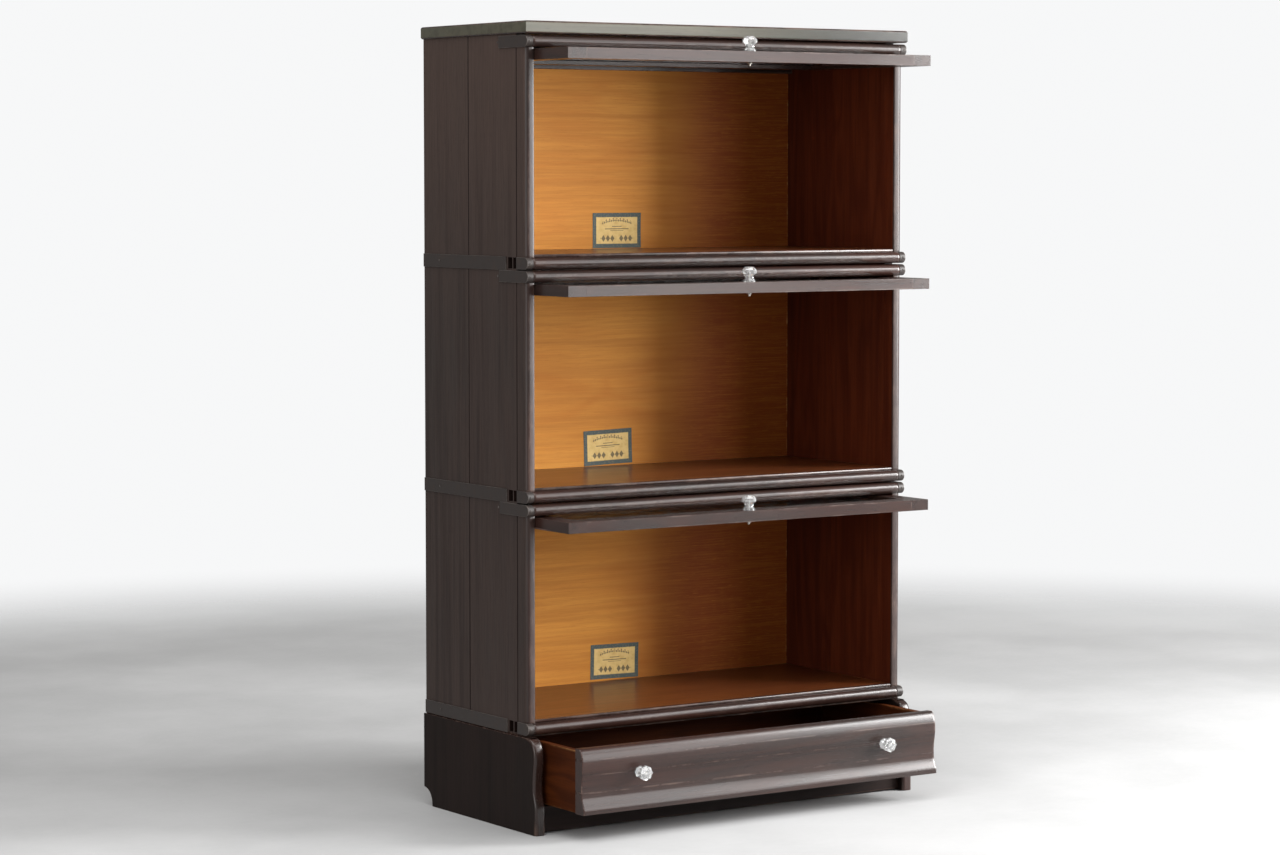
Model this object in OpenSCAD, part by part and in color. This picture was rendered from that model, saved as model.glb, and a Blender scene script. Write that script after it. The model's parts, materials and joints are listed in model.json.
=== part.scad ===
// Barrister bookcase: three stacked sections with lift-and-slide glass doors,
// a drawer base and a top slab.
// +Z is up, +X is to the right of someone facing the doors, the front looks along -Y.
// The origin is on the floor, at the middle of the footprint as modelled.

/* [Whole case] */
// Width of the top slab and of the base
case_w = 864; // [760:1:960]
// Depth of the case from the front of the rails to the back
case_d = 371; // [340:1:420]
// Height of each section
section_h = 422; // [400:1:450]
// Height of the drawer base
base_h = 179; // [170:1:200]
// Thickness of the top slab
slab_t = 23; // [18:1:30]
// How far each case side stands in from the end of the slab
side_inset = 4; // [3:1:8]
// Thickness of the section sides
side_t = 19; // [17:1:22]

/* [Rails and shelf] */
// Height of the half-round rails
rail_h = 21.5; // [18:0.5:24]
// Depth of the half-round rails
rail_d = 39; // [34:1:44]
// Width of the iron cap on each rail end
cap_w = 13; // [10:1:18]
// Thickness of the irons
iron_t = 2; // [1.5:0.5:3]
// Height of the shelf surface above the bottom of its section
shelf_z = 27; // [25:1:30]
// Height of the back rail that closes the top of a section
back_rail_h = 49; // [35:1:55]

/* [Doors] */
// Thickness of a door frame
door_t = 20; // [18:1:22]
// Width of the door stiles and rails
frame_w = 39; // [34:1:45]
// Gap between a door and a case side
door_gap = 1; // [0.8:0.1:2]
// How far a door stands out in front of the slab
door_out = 101; // [0:1:330]
// Height of a glass knob
knob_h = 28; // [24:1:34]
// Radius of a glass knob
knob_r = 14; // [12:0.5:17]

/* [Drawer] */
// How far the drawer stands open
drawer_out = 112; // [0:1:300]
// Height of the drawer front
drawer_h = 118; // [100:1:120]
// Distance of each drawer knob from the middle
drawer_knob_x = 278; // [200:1:330]

/* [Hidden] */
$fn = 48;
sections = 3;
per_section = ["side_left", "side_right", "back_panel", "shelf", "upper_rail", "lower_rail", "back_rail",
    "corner_irons", "door_stiles", "door_rail_top", "door_rail_bottom", "door_glass", "door_knob",
    "knob_bolt", "door_pivots"];

// Finishes
stain = "#2a1b17";
inner_wood = "#8c4d22";
drawer_wood = "#6e3a1c";
iron = "#3a3634";
steel = "#8d8b88";
clear_glass = [0.86, 0.92, 0.92, 0.35];
paper = "#c9a75a";

// Case
side_x = case_w / 2 - side_inset;         // outer face of a section side
inner_x = side_x - side_t;                // inner face of a section side
side_back = case_d - 3;                   // back edge of the section sides
nose_y = 10;                              // front of the bullnosed side edge
back_t = 8;
back_y = side_back - 5 - back_t;          // front face of the back panel
upper_z = section_h - 24;                 // bottom of the upper rail in its section
shelf_t = 22;
lip_y = 12;                               // front edge of the shelf above the lower rail
slab_round = 4;
joint_gap = 0.5;                          // dark line between a rail and its iron cap

// Irons
band_y = 74;                              // front end of the long side band
band_z = -2;                              // the band laps over the joint below its section
band_h = 24.5;
upper_plate_d = 98;
screw_r = 3.2;
screw_t = 1.2;

// Door, which swings about a pin near its top edge and slides on rollers in grooves
door_half = inner_x - door_gap;
pin_drop = 2.7 + door_t / 2;              // pin below the bottom of the upper rail
pin_z = upper_z - pin_drop;
pin_r = 2.5;
pin_clear = 0.05;
pin_in = 28;                              // length of the pin inside the stile
door_swing = pin_z - shelf_z - 3.3;       // from the pin to the bottom edge of the door
pin_y = door_swing - door_out;
roller_r = 4.7;
roller_t = 5;
groove_d = 7;
groove_r = 5;
groove_front = 17;
groove_back = case_d - 46;
glass_t = 3;
glass_in = 6;
tenon_l = 25;
tenon_t = 7;
tenon_low = [8 - door_swing, frame_w - 16];   // start in y from the pin, and width
tenon_high = [14 - frame_w, 16];              // narrow, to stay clear of the pin

// Knobs and their bolts
bolt_r = 2;
bolt_clear = 0.1;
bolt_tip = 7;
bolt_in_knob = 18;
knob_set = 19;                            // knob to the bottom edge of the door
knob_foot_r = 0.78 * knob_r;
knob_neck_r = 0.6 * knob_r;

// Base
base_x = case_w / 2;
base_side_t = 22;
base_inner = base_x - base_side_t;
base_top_t = 4;                           // board over the base sides, under the bottom section
base_side_h = base_h - base_top_t;
foot_cut = 30;                            // radius of the cove at the back of a foot
base_back_z = foot_cut + 6;
ogee_top = 174;                           // heights along the ogee, from its top edge down
ogee_bulge = 140;
ogee_waist = 94;
ogee_flare = 82;
ogee_step = 3;
nose_out = 3;                             // how far the ogee stands in front of the slab, and its depths
bulge_out = 23;
waist_out = 18.5;
foot_out = 26;
lip_out = 27;
foot_z = 46;                              // where the flare of a foot ends
lip_z = 59;                               // where the flare of the drawer front ends

// Drawer
drawer_z = 52;                            // bottom edge of the drawer front
drawer_x = base_inner - 8;
drawer_side_x = drawer_x - 2;
drawer_board = 12;
drawer_d = 330;
drawer_bottom_t = 5;
drawer_bottom_z = 60;
runner_w = 20;
drawer_knob_z = drawer_z + 67.5;
drawer_seat_y = ogee_y(drawer_knob_z + knob_foot_r, lip_z, lip_out);   // a knob meets the bulge at its top
drawer_bolt_tip = 8;

// Paper labels on the back panels: middle in x, height above the section, turn in degrees
label_size = [112, 68];
label_t = 0.4;
label_places = [[-3, 62, 0], [-24, 63, 1.5], [-9, 64, -1]];

// The origin is in the middle of the footprint, from the drawer knobs to the back of the slab
mid_y = (case_d + drawer_seat_y - drawer_out - knob_h) / 2;

function section_z(n) = base_h + (sections - n) * section_h;

// Blend from 0 to 1 with a level start and end
function ease(t) = (1 - cos(180 * min(1, max(0, t)))) / 2;

// Front of the base in y at height z: a round bulge, a shallow waist and a flare that ends at
// height end_z, end_out in front of the slab
function ogee_y(z, end_z, end_out) =
    z > ogee_bulge ? -nose_out - (bulge_out - nose_out) * round_off((z - ogee_bulge) / (ogee_top - ogee_bulge))
    : z > ogee_waist ? -bulge_out + (bulge_out - waist_out) * ease((ogee_bulge - z) / (ogee_bulge - ogee_waist))
    : -waist_out - (end_out - waist_out) * ease((ogee_flare - z) / (ogee_flare - end_z));

// Quarter circle from 1 at t = 0 to 0 at t = 1
function round_off(t) = sqrt(max(0, 1 - t * t));

// Closed outline in (y, z) from the ogee back to y = back
function ogee_outline(low, high, back, end_z, end_out) = concat(
    [[back, low]],
    [for (z = [low:ogee_step:high - ogee_step / 2]) [ogee_y(z, end_z, end_out), z]],
    [[ogee_y(high, end_z, end_out), high], [back, high]]);

// Moves from the front face of the slab at y = 0 to the part's own origin
module placed() {
    translate([0, -mid_y, 0]) children();
}

// Places a section's children at the height of that section
module in_section(n) {
    placed() translate([0, 0, section_z(n)]) children();
}

module both_sides() {
    children();
    mirror([1, 0, 0]) children();
}

// A (y, z) outline drawn out along x from x0 to x1
module along_x(x0, x1) {
    translate([x0, 0, 0]) rotate([90, 0, 90]) linear_extrude(x1 - x0) children();
}

module rod_x(r, x0, x1) {
    translate([x0, 0, 0]) rotate([0, 90, 0]) cylinder(h = x1 - x0, r = r);
}

// A board whose front edge is a full half-round
module half_round(h, d) {
    translate([h / 2, h / 2]) circle(d = h);
    translate([h / 2, 0]) square([d - h / 2, h]);
}

module top_slab() {
    color(stain) placed() translate([0, 0, section_z(1) + section_h]) intersection() {
        along_x(-case_w / 2, case_w / 2) slab_edge(case_d);
        translate([0, case_d, 0]) rotate([90, 0, 0]) linear_extrude(case_d)
            translate([-case_w / 2, 0]) slab_edge(case_w);
    }
}

module slab_edge(length) {
    for (a = [slab_round, length - slab_round], b = [slab_round, slab_t - slab_round])
        translate([a, b]) circle(slab_round);
    translate([slab_round, 0]) square([length - 2 * slab_round, slab_t]);
    translate([0, slab_round]) square([length, slab_t - 2 * slab_round]);
}

// Right-hand side of a section, with the groove that carries the door's roller
module section_side() {
    difference() {
        linear_extrude(section_h) {
            translate([inner_x + side_t / 2, nose_y + side_t / 2]) circle(d = side_t);
            translate([inner_x, nose_y + side_t / 2]) square([side_t, side_back - nose_y - side_t / 2]);
        }
        translate([inner_x - 1, 0, -1]) cube([side_t + 2, rail_d, rail_h + 1]);
        translate([inner_x - 1, 0, upper_z]) cube([side_t + 2, rail_d, section_h]);
        translate([0, 0, pin_z]) {
            for (y = [groove_front + groove_r, groove_back - groove_r])
                translate([0, y, 0]) rod_x(groove_r, inner_x - 1, inner_x + groove_d);
            translate([inner_x - 1, groove_front + groove_r, -groove_r])
                cube([groove_d + 1, groove_back - groove_front - 2 * groove_r, 2 * groove_r]);
        }
    }
}

module side_left(n) {
    color(stain) in_section(n) mirror([1, 0, 0]) section_side();
}

module side_right(n) {
    color(stain) in_section(n) section_side();
}

module back_panel(n) {
    color(inner_wood) in_section(n) translate([-inner_x, back_y, 0]) cube([2 * inner_x, back_t, section_h]);
}

module shelf(n) {
    color(inner_wood) in_section(n) translate([-inner_x, 0, shelf_z]) {
        translate([0, lip_y, rail_h - shelf_z]) cube([2 * inner_x, rail_d - lip_y, shelf_z - rail_h]);
        translate([0, rail_d, -shelf_t]) cube([2 * inner_x, back_y - rail_d, shelf_t]);
    }
}

// A rail with a half-round front, cut down at both ends to carry the iron caps
module rail() {
    cap_x = side_x - cap_w + iron_t;
    along_x(-cap_x + joint_gap, cap_x - joint_gap) half_round(rail_h, rail_d);
    along_x(-side_x, side_x) translate([iron_t, iron_t]) half_round(rail_h - 2 * iron_t, rail_d - iron_t);
}

module upper_rail(n) {
    color(stain) in_section(n) translate([0, 0, upper_z]) rail();
}

module lower_rail(n) {
    color(stain) in_section(n) rail();
}

module back_rail(n) {
    color(inner_wood) in_section(n) translate([-inner_x, back_y - 14, section_h - 2 - back_rail_h])
        cube([2 * inner_x, 14, back_rail_h]);
}

// Iron cap over the right-hand end of a rail, with a plate along the side
module rail_cap(plate_d) {
    cap_x = side_x - cap_w + iron_t;
    along_x(cap_x, side_x) difference() {
        half_round(rail_h, rail_d);
        translate([iron_t, iron_t]) half_round(rail_h - 2 * iron_t, rail_d);
    }
    along_x(side_x, side_x + iron_t) half_round(rail_h, plate_d);
}

// Low round screw head on an outer face at x
module screw(x, y, z) {
    translate([0, y, z]) rod_x(screw_r, x, x + screw_t);
}

module corner_irons(n) {
    color(iron) in_section(n) both_sides() {
        rail_cap(rail_d);
        translate([0, 0, upper_z]) rail_cap(upper_plate_d);
        translate([side_x, band_y, band_z]) cube([iron_t, side_back - band_y, band_h]);
        screw(side_x + iron_t, side_back - 58, band_z + band_h / 2);
        screw(side_x, upper_plate_d + 6, upper_z + rail_h / 2);
    }
}

// Door parts are drawn with the pin at the origin and the bottom edge towards -y
module on_door(n) {
    in_section(n) translate([0, pin_y, pin_z]) children();
}

// Outline of a stile in (y, z), rounded about the pin at the top edge
module stile_outline(low, high) {
    translate([low, -door_t / 2]) square([high - low, door_t]);
}

module door_stile() {
    difference() {
        union() {
            along_x(door_half - frame_w, door_half) stile_outline(-door_swing, 0);
            rod_x(door_t / 2, door_half - frame_w, door_half);
        }
        rod_x(pin_r + pin_clear, door_half - pin_in, door_half + 1);
        translate([door_half - frame_w - 1, -door_swing + frame_w - glass_in, -glass_t / 2 - 0.1])
            cube([glass_in + 1.1, door_swing - 2 * frame_w + door_t / 2 + 2 * glass_in, glass_t + 0.2]);
        for (t = [tenon_low, tenon_high])
            translate([door_half - frame_w - 1, t[0], -tenon_t / 2]) cube([tenon_l + 1, t[1], tenon_t]);
    }
}

module door_stiles(n) {
    color(stain) on_door(n) both_sides() door_stile();
}

// Slot in a rail for the edge of the glass, from y on towards +y
module glass_slot(y) {
    translate([-door_half, y, -glass_t / 2 - 0.1]) cube([2 * door_half, glass_in + 0.1, glass_t + 0.2]);
}

module tenons(t) {
    reach = door_half - frame_w + tenon_l;
    translate([-reach, t[0], -tenon_t / 2]) cube([2 * reach, t[1], tenon_t]);
}

module door_rail_top(n) {
    rail_x = door_half - frame_w;
    color(stain) on_door(n) difference() {
        union() {
            along_x(-rail_x, rail_x) stile_outline(door_t / 2 - frame_w, 0);
            rod_x(door_t / 2, -rail_x, rail_x);
            tenons(tenon_high);
        }
        glass_slot(door_t / 2 - frame_w);
    }
}

module door_rail_bottom(n) {
    rail_x = door_half - frame_w;
    color(stain) on_door(n) difference() {
        union() {
            along_x(-rail_x, rail_x) stile_outline(-door_swing, frame_w - door_swing);
            tenons(tenon_low);
        }
        glass_slot(frame_w - door_swing - glass_in - 0.1);
        translate([0, knob_set - door_swing, -door_t]) cylinder(h = 2 * door_t, r = bolt_r + bolt_clear);
    }
}

module door_glass(n) {
    glass_x = door_half - frame_w + glass_in;
    low = frame_w - door_swing - glass_in;
    high = door_t / 2 - frame_w + glass_in;
    color(clear_glass) on_door(n) translate([-glass_x, low, -glass_t / 2])
        cube([2 * glass_x, high - low, glass_t]);
}

// Glass knob standing on +z: flared foot, neck and round head, with a blind hole for its bolt
module knob() {
    difference() {
        union() {
            cylinder(h = 3, r = knob_foot_r);
            translate([0, 0, 3]) cylinder(h = 5, r1 = knob_foot_r, r2 = knob_neck_r);
            translate([0, 0, 8]) cylinder(h = 3, r = knob_neck_r);
            translate([0, 0, 11]) cylinder(h = 5, r1 = knob_neck_r, r2 = knob_r);
            translate([0, 0, 16]) cylinder(h = knob_h - 21, r = knob_r);
            translate([0, 0, knob_h - 5]) cylinder(h = 5, r1 = knob_r, r2 = 0.7 * knob_r);
        }
        translate([0, 0, -1]) cylinder(h = bolt_in_knob + 1.1, r = bolt_r + bolt_clear);
    }
}

module door_knob(n) {
    color(clear_glass) on_door(n) translate([0, knob_set - door_swing, door_t / 2]) knob();
}

// Bolt along z from low to high, with a nut whose top face is at nut_z
module bolt(low, high, nut_z) {
    translate([0, 0, low]) cylinder(h = high - low, r = bolt_r);
    translate([0, 0, nut_z - 3]) cylinder(h = 3, r = 4.5);
}

module knob_bolt(n) {
    color(steel) on_door(n) translate([0, knob_set - door_swing, 0])
        bolt(-door_t / 2 - bolt_tip, door_t / 2 + bolt_in_knob, -door_t / 2);
}

// Pin in the stile, and the roller on its outer end that runs in the side's groove
module door_pivots(n) {
    color(steel) on_door(n) both_sides() {
        rod_x(pin_r, door_half - pin_in + 0.5, inner_x + 1 + roller_t);
        rod_x(roller_r, inner_x + 1, inner_x + 1 + roller_t);
    }
}

// Labels lie on the front of the back panels
module paper_labels() {
    color(paper) for (n = [1:sections]) {
        place = label_places[n - 1];
        in_section(n) translate([place[0], back_y, place[1]]) rotate([0, -place[2], 0])
            translate([-label_size[0] / 2, -label_t, -label_size[1] / 2])
                cube([label_size[0], label_t, label_size[1]]);
    }
}

// Right-hand side of the base, ending in a foot with a cove at the back
module base_side() {
    difference() {
        along_x(base_inner, base_x) polygon(ogee_outline(0, base_side_h, case_d, foot_z, foot_out));
        translate([0, case_d, 4]) rod_x(foot_cut, base_inner - 1, base_x + 1);
        translate([base_inner - 1, case_d - foot_cut, -1]) cube([base_side_t + 2, foot_cut + 1, 5]);
    }
}

module base_side_left() {
    color(stain) placed() mirror([1, 0, 0]) base_side();
}

module base_side_right() {
    color(stain) placed() base_side();
}

module base_front_rail() {
    color(stain) placed() translate([-base_inner, -10, 3]) cube([2 * base_inner, 20, drawer_z - 5]);
}

module base_back() {
    color(stain) placed() translate([-base_inner, case_d - 19, base_back_z])
        cube([2 * base_inner, 12, base_side_h - base_back_z]);
}

module base_top() {
    color(stain) placed() translate([-side_x, 14, base_side_h])
        cube([2 * side_x, side_back - 14, base_top_t]);
}

module drawer_runners() {
    color(drawer_wood) placed() both_sides() translate([base_inner - runner_w, 12, drawer_z - 12])
        cube([runner_w, case_d - 33, 12.5]);
}

// Drawer parts are drawn shut, then pulled out
module on_drawer() {
    placed() translate([0, -drawer_out, 0]) children();
}

module drawer_front() {
    color(stain) on_drawer() difference() {
        along_x(-drawer_x, drawer_x)
            polygon(ogee_outline(drawer_z, drawer_z + drawer_h, 0, lip_z, lip_out));
        translate([-drawer_side_x + 6, -6, drawer_bottom_z])
            cube([2 * drawer_side_x - 12, 7, drawer_bottom_t]);
        both_sides() translate([drawer_knob_x, -40, drawer_knob_z]) rotate([-90, 0, 0])
            cylinder(h = 50, r = bolt_r + bolt_clear);
    }
}

module drawer_side() {
    difference() {
        translate([drawer_side_x - drawer_board, 0, drawer_z + 1])
            cube([drawer_board, drawer_d, drawer_h - 5]);
        translate([drawer_side_x - drawer_board - 1, -1, drawer_bottom_z])
            cube([7, drawer_d + 2, drawer_bottom_t]);
    }
}

module drawer_side_left() {
    color(drawer_wood) on_drawer() mirror([1, 0, 0]) drawer_side();
}

module drawer_side_right() {
    color(drawer_wood) on_drawer() drawer_side();
}

module drawer_back() {
    wide = 2 * (drawer_side_x - drawer_board);
    color(drawer_wood) on_drawer()
        translate([-wide / 2, drawer_d - drawer_board, drawer_bottom_z + drawer_bottom_t])
            cube([wide, drawer_board, drawer_h - 23]);
}

module drawer_bottom() {
    wide = 2 * (drawer_side_x - 6);
    color(drawer_wood) on_drawer() translate([-wide / 2, -6, drawer_bottom_z])
        cube([wide, drawer_d + 6, drawer_bottom_t]);
}

// Turns a knob or bolt to stand on the drawer front, at each side
module at_drawer_knobs() {
    on_drawer() both_sides() translate([drawer_knob_x, drawer_seat_y, drawer_knob_z])
        rotate([90, 0, 0]) children();
}

module drawer_knobs() {
    color(clear_glass) at_drawer_knobs() knob();
}

module drawer_knob_bolts() {
    color(steel) at_drawer_knobs() bolt(drawer_seat_y - drawer_bolt_tip, bolt_in_knob, drawer_seat_y);
}

top_slab();
paper_labels();
base_side_left();
base_side_right();
base_front_rail();
base_back();
base_top();
drawer_runners();
drawer_front();
drawer_side_left();
drawer_side_right();
drawer_back();
drawer_bottom();
drawer_knobs();
drawer_knob_bolts();
for (n = [1:sections]) {
    side_left(n);
    side_right(n);
    back_panel(n);
    shelf(n);
    upper_rail(n);
    lower_rail(n);
    back_rail(n);
    corner_irons(n);
    door_stiles(n);
    door_rail_top(n);
    door_rail_bottom(n);
    door_glass(n);
    door_knob(n);
    knob_bolt(n);
    door_pivots(n);
}
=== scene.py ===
# Barrister bookcase: detailed meshes, finishes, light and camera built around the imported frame.
import json
import math
import random

import bmesh
import bpy
from mathutils import Matrix, Vector


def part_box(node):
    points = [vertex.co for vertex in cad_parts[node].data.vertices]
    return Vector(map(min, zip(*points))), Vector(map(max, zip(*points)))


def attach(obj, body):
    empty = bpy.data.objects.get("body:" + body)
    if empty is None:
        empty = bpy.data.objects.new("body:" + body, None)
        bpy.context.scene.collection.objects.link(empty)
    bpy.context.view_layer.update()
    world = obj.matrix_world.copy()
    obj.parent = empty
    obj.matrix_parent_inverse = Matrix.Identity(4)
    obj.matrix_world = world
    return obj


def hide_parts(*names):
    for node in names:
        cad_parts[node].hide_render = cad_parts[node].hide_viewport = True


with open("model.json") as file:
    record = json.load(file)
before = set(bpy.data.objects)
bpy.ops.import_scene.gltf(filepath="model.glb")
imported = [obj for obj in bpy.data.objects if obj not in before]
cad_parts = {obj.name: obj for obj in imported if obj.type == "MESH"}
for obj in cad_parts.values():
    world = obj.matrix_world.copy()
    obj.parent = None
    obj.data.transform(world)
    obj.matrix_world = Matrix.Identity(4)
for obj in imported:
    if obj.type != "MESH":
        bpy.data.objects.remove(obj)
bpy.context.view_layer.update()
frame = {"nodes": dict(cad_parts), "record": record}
print("frame loaded:", len(frame["nodes"]), "nodes")

sections = (1, 2, 3)  # from the top down
bodyOf = {node: body for body, nodes in frame["record"]["behaviour"]["bodies"].items() for node in nodes}
slabLow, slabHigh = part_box("top_slab")
frontY = slabLow.y  # front face of the slab and of the rails
near = 1e-5  # places closer than this are the same


class Value:  # a socket's output, with arithmetic written as Python
    def __init__(self, finish, socket):
        self.finish = finish
        self.socket = socket

    def math(self, operation, first, second=0.0, clamp=False):
        settings = {"operation": operation, "use_clamp": clamp}
        return self.finish.node("ShaderNodeMath", settings, {0: first, 1: second})

    def __add__(self, other):
        return self.math("ADD", self, other)

    def __radd__(self, other):
        return self.math("ADD", other, self)

    def __sub__(self, other):
        return self.math("SUBTRACT", self, other)

    def __rsub__(self, other):
        return self.math("SUBTRACT", other, self)

    def __mul__(self, other):
        return self.math("MULTIPLY", self, other)

    def __rmul__(self, other):
        return self.math("MULTIPLY", other, self)

    def clamped(self):
        return self.math("ADD", self, 0.0, clamp=True)

    def size(self):
        return self.math("ABSOLUTE", self)

    def ramp(self, low, high):  # 0 below low, 1 above high, smooth between
        sockets = {"Value": self, "From Min": low, "From Max": high}
        return self.finish.node("ShaderNodeMapRange", {"interpolation_type": "SMOOTHSTEP"}, sockets)


class Finish:  # one material and the nodes that make it
    def __init__(self, name):
        self.material = bpy.data.materials.new(name)
        self.material.use_nodes = True
        self.tree = self.material.node_tree
        self.tree.nodes.clear()
        self.output = self.tree.nodes.new("ShaderNodeOutputMaterial")

    def node(self, kind, settings=None, sockets=None, output=0):
        made = self.tree.nodes.new(kind)
        for key, value in (settings or {}).items():
            setattr(made, key, value)
        for key, value in (sockets or {}).items():
            if isinstance(value, Value):
                self.tree.links.new(value.socket, made.inputs[key])
            else:
                made.inputs[key].default_value = value
        return Value(self, made.outputs[output])

    def mix(self, factor, first, second):
        first, second = [c if isinstance(c, Value) else (*c, 1) for c in (first, second)]
        return self.node("ShaderNodeMix", {"data_type": "RGBA"}, {0: factor, 6: first, 7: second}, output=2)

    def noise(self, vector, scale, detail=3, roughness=0.5, distortion=0.0):
        sockets = {"Vector": vector, "Scale": scale, "Detail": detail,
                   "Roughness": roughness, "Distortion": distortion}
        return self.node("ShaderNodeTexNoise", {}, sockets)

    def place(self):  # position on the piece, in metres
        return self.node("ShaderNodeTexCoord", output="Object")

    def attribute(self, name):
        return self.node("ShaderNodeAttribute", {"attribute_name": name}, output="Fac")

    def stretched(self, vector, factors, shift=None):  # shift gives each board its own part of a pattern
        scaled = self.node("ShaderNodeVectorMath", {"operation": "MULTIPLY"}, {0: vector, 1: factors})
        if shift is None:
            return scaled
        moved = self.node("ShaderNodeCombineXYZ", {}, {0: shift * 3.1, 1: shift * 7.7, 2: shift * 5.3})
        return self.node("ShaderNodeVectorMath", {"operation": "ADD"}, {0: scaled, 1: moved})

    def axis(self, vector, name):
        return self.node("ShaderNodeSeparateXYZ", {}, {0: vector}, output=name)

    def bump(self, height, strength, distance, under=None):
        sockets = {"Height": height, "Strength": strength, "Distance": distance}
        if under is not None:
            sockets["Normal"] = under
        return self.node("ShaderNodeBump", {}, sockets)

    def surface(self, **sockets):  # keyword names are the shader's socket names, with _ for spaces
        named = {key.replace("_", " "): value for key, value in sockets.items()}
        shader = self.node("ShaderNodeBsdfPrincipled", {}, named)
        self.tree.links.new(shader.socket, self.output.inputs["Surface"])
        return self.material


# figure and ripple are amounts and clouds a scale; fade is an axis, where the drift starts and ends along
# it, its amount and the colour that it drifts to
darkStain = {
    "deep": (0.0095, 0.0044, 0.0034), "middle": (0.029, 0.0128, 0.01), "warm": (0.047, 0.018, 0.012),
    "grey": (0.019, 0.0135, 0.0118), "rubbed": (0.115, 0.07, 0.054),
    "figure": 0.3, "ripple": 0.0, "clouds": 3.2, "roughness": 0.25, "coat": 0.04, "specular": 0.36,
    "fade": None,
}
noseStain = dict(darkStain, roughness=0.4, specular=0.34)
# the pale grey-green colours are a painted sheen on the slab's upright faces, and its fade is a painted
# reflection that dims towards the right end
slabStainAndSheen = dict(
    darkStain, deep=(0.028, 0.025, 0.017), middle=(0.07, 0.064, 0.041), warm=(0.076, 0.062, 0.042),
    grey=(0.062, 0.063, 0.046), roughness=0.165, coat=0.0,
    fade=("X", -0.15, 0.4, 0.8, (0.03, 0.031, 0.032)))
# its fade is painted light: the sides grow lighter towards the top of the case
sideStain = dict(
    darkStain, deep=(0.018, 0.012, 0.011), middle=(0.043, 0.03, 0.0262), warm=(0.048, 0.03, 0.024),
    grey=(0.038, 0.03, 0.027), figure=0.22, roughness=0.5, coat=0.0, specular=0.12,
    fade=("Z", 0.85, 1.45, 0.55, (0.072, 0.047, 0.038)))
baseStain = dict(
    sideStain, deep=(0.0055, 0.0032, 0.0026), middle=(0.0145, 0.0082, 0.0068), warm=(0.017, 0.009, 0.0068),
    grey=(0.012, 0.0082, 0.0072), specular=0.08, fade=None)
innerVarnish = {
    "deep": (0.36, 0.13, 0.02), "middle": (0.56, 0.235, 0.038), "warm": (0.64, 0.31, 0.058),
    "grey": (0.48, 0.18, 0.028), "rubbed": (0.6, 0.36, 0.14),
    "figure": 0.22, "ripple": 0.14, "clouds": 4.5, "roughness": 0.55, "coat": 0.0, "specular": 0.1,
    # painted shade: the backs turn darker and redder towards the right, where the right side shades them,
    # and lower down the shade reaches further left
    "fade": ("X", -0.02, 0.25, 0.95, (0.17, 0.033, 0.006)),
    "slant": 0.06,  # the painted shade starts nearer the left lower down
}
# its fade is painted shade: the shelves turn darker towards the right, where the right side shades them
shelfVarnish = dict(
    innerVarnish, deep=(0.05, 0.012, 0.003), middle=(0.11, 0.031, 0.007), warm=(0.16, 0.05, 0.012),
    grey=(0.075, 0.02, 0.005), figure=0.5, ripple=0.0, roughness=0.33, coat=0.1, specular=0.28,
    fade=("X", 0.02, 0.27, 0.6, (0.06, 0.014, 0.004)))
# a much darker copy of the back's varnish for the inner faces of the sides: painted shade
innerSideVarnish = dict(
    innerVarnish, deep=(0.036, 0.0055, 0.002), middle=(0.075, 0.0135, 0.0045), warm=(0.105, 0.023, 0.0075),
    grey=(0.055, 0.01, 0.004), figure=0.5, ripple=0.0, fade=None)
plainWood = dict(
    innerVarnish, deep=(0.085, 0.045, 0.024), middle=(0.17, 0.095, 0.05), warm=(0.21, 0.115, 0.058),
    grey=(0.13, 0.083, 0.05), roughness=0.72, specular=0.12, fade=None)
drawerVarnish = {
    "deep": (0.024, 0.0055, 0.0015), "middle": (0.054, 0.0125, 0.0025), "warm": (0.09, 0.022, 0.0045),
    "grey": (0.036, 0.0085, 0.0025), "rubbed": (0.3, 0.15, 0.06),
    "figure": 0.4, "ripple": 0.0, "clouds": 7.0, "roughness": 0.6, "coat": 0.0, "specular": 0.05,
    "fade": None,
}
grainLook = {
    # each pattern: how far it is drawn out along the grain, then its scale, detail, roughness, distortion
    "rings": (0.12, 16, 2, 0.45, 0.7), "fibre": (0.022, 420, 3, 0.65), "streaks": (0.03, 60, 4, 0.6),
    "pores": (0.05, 900, 2), "patches": (0.35, 34, 5, 0.7), "scratches": (0.06, 240, 2),
    "swell": (0.2, 9, 2),
    "bands": 34,  # turns the rings into this many bands
    "wave": {"Scale": 26, "Distortion": 11.0, "Detail": 3.0, "Detail Scale": 0.28, "Detail Roughness": 0.6},
    "streakShare": 0.6, "fibreShare": 0.35, "poreShare": 0.45, "wornShare": 0.8,
    "fineBump": (0.07, 0.0003), "wavyBump": (0.03, 0.003), "coatRoughness": 0.16,
    "slantFrom": 1.2,  # the height where a slanted drift is as fade says
}


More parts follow.
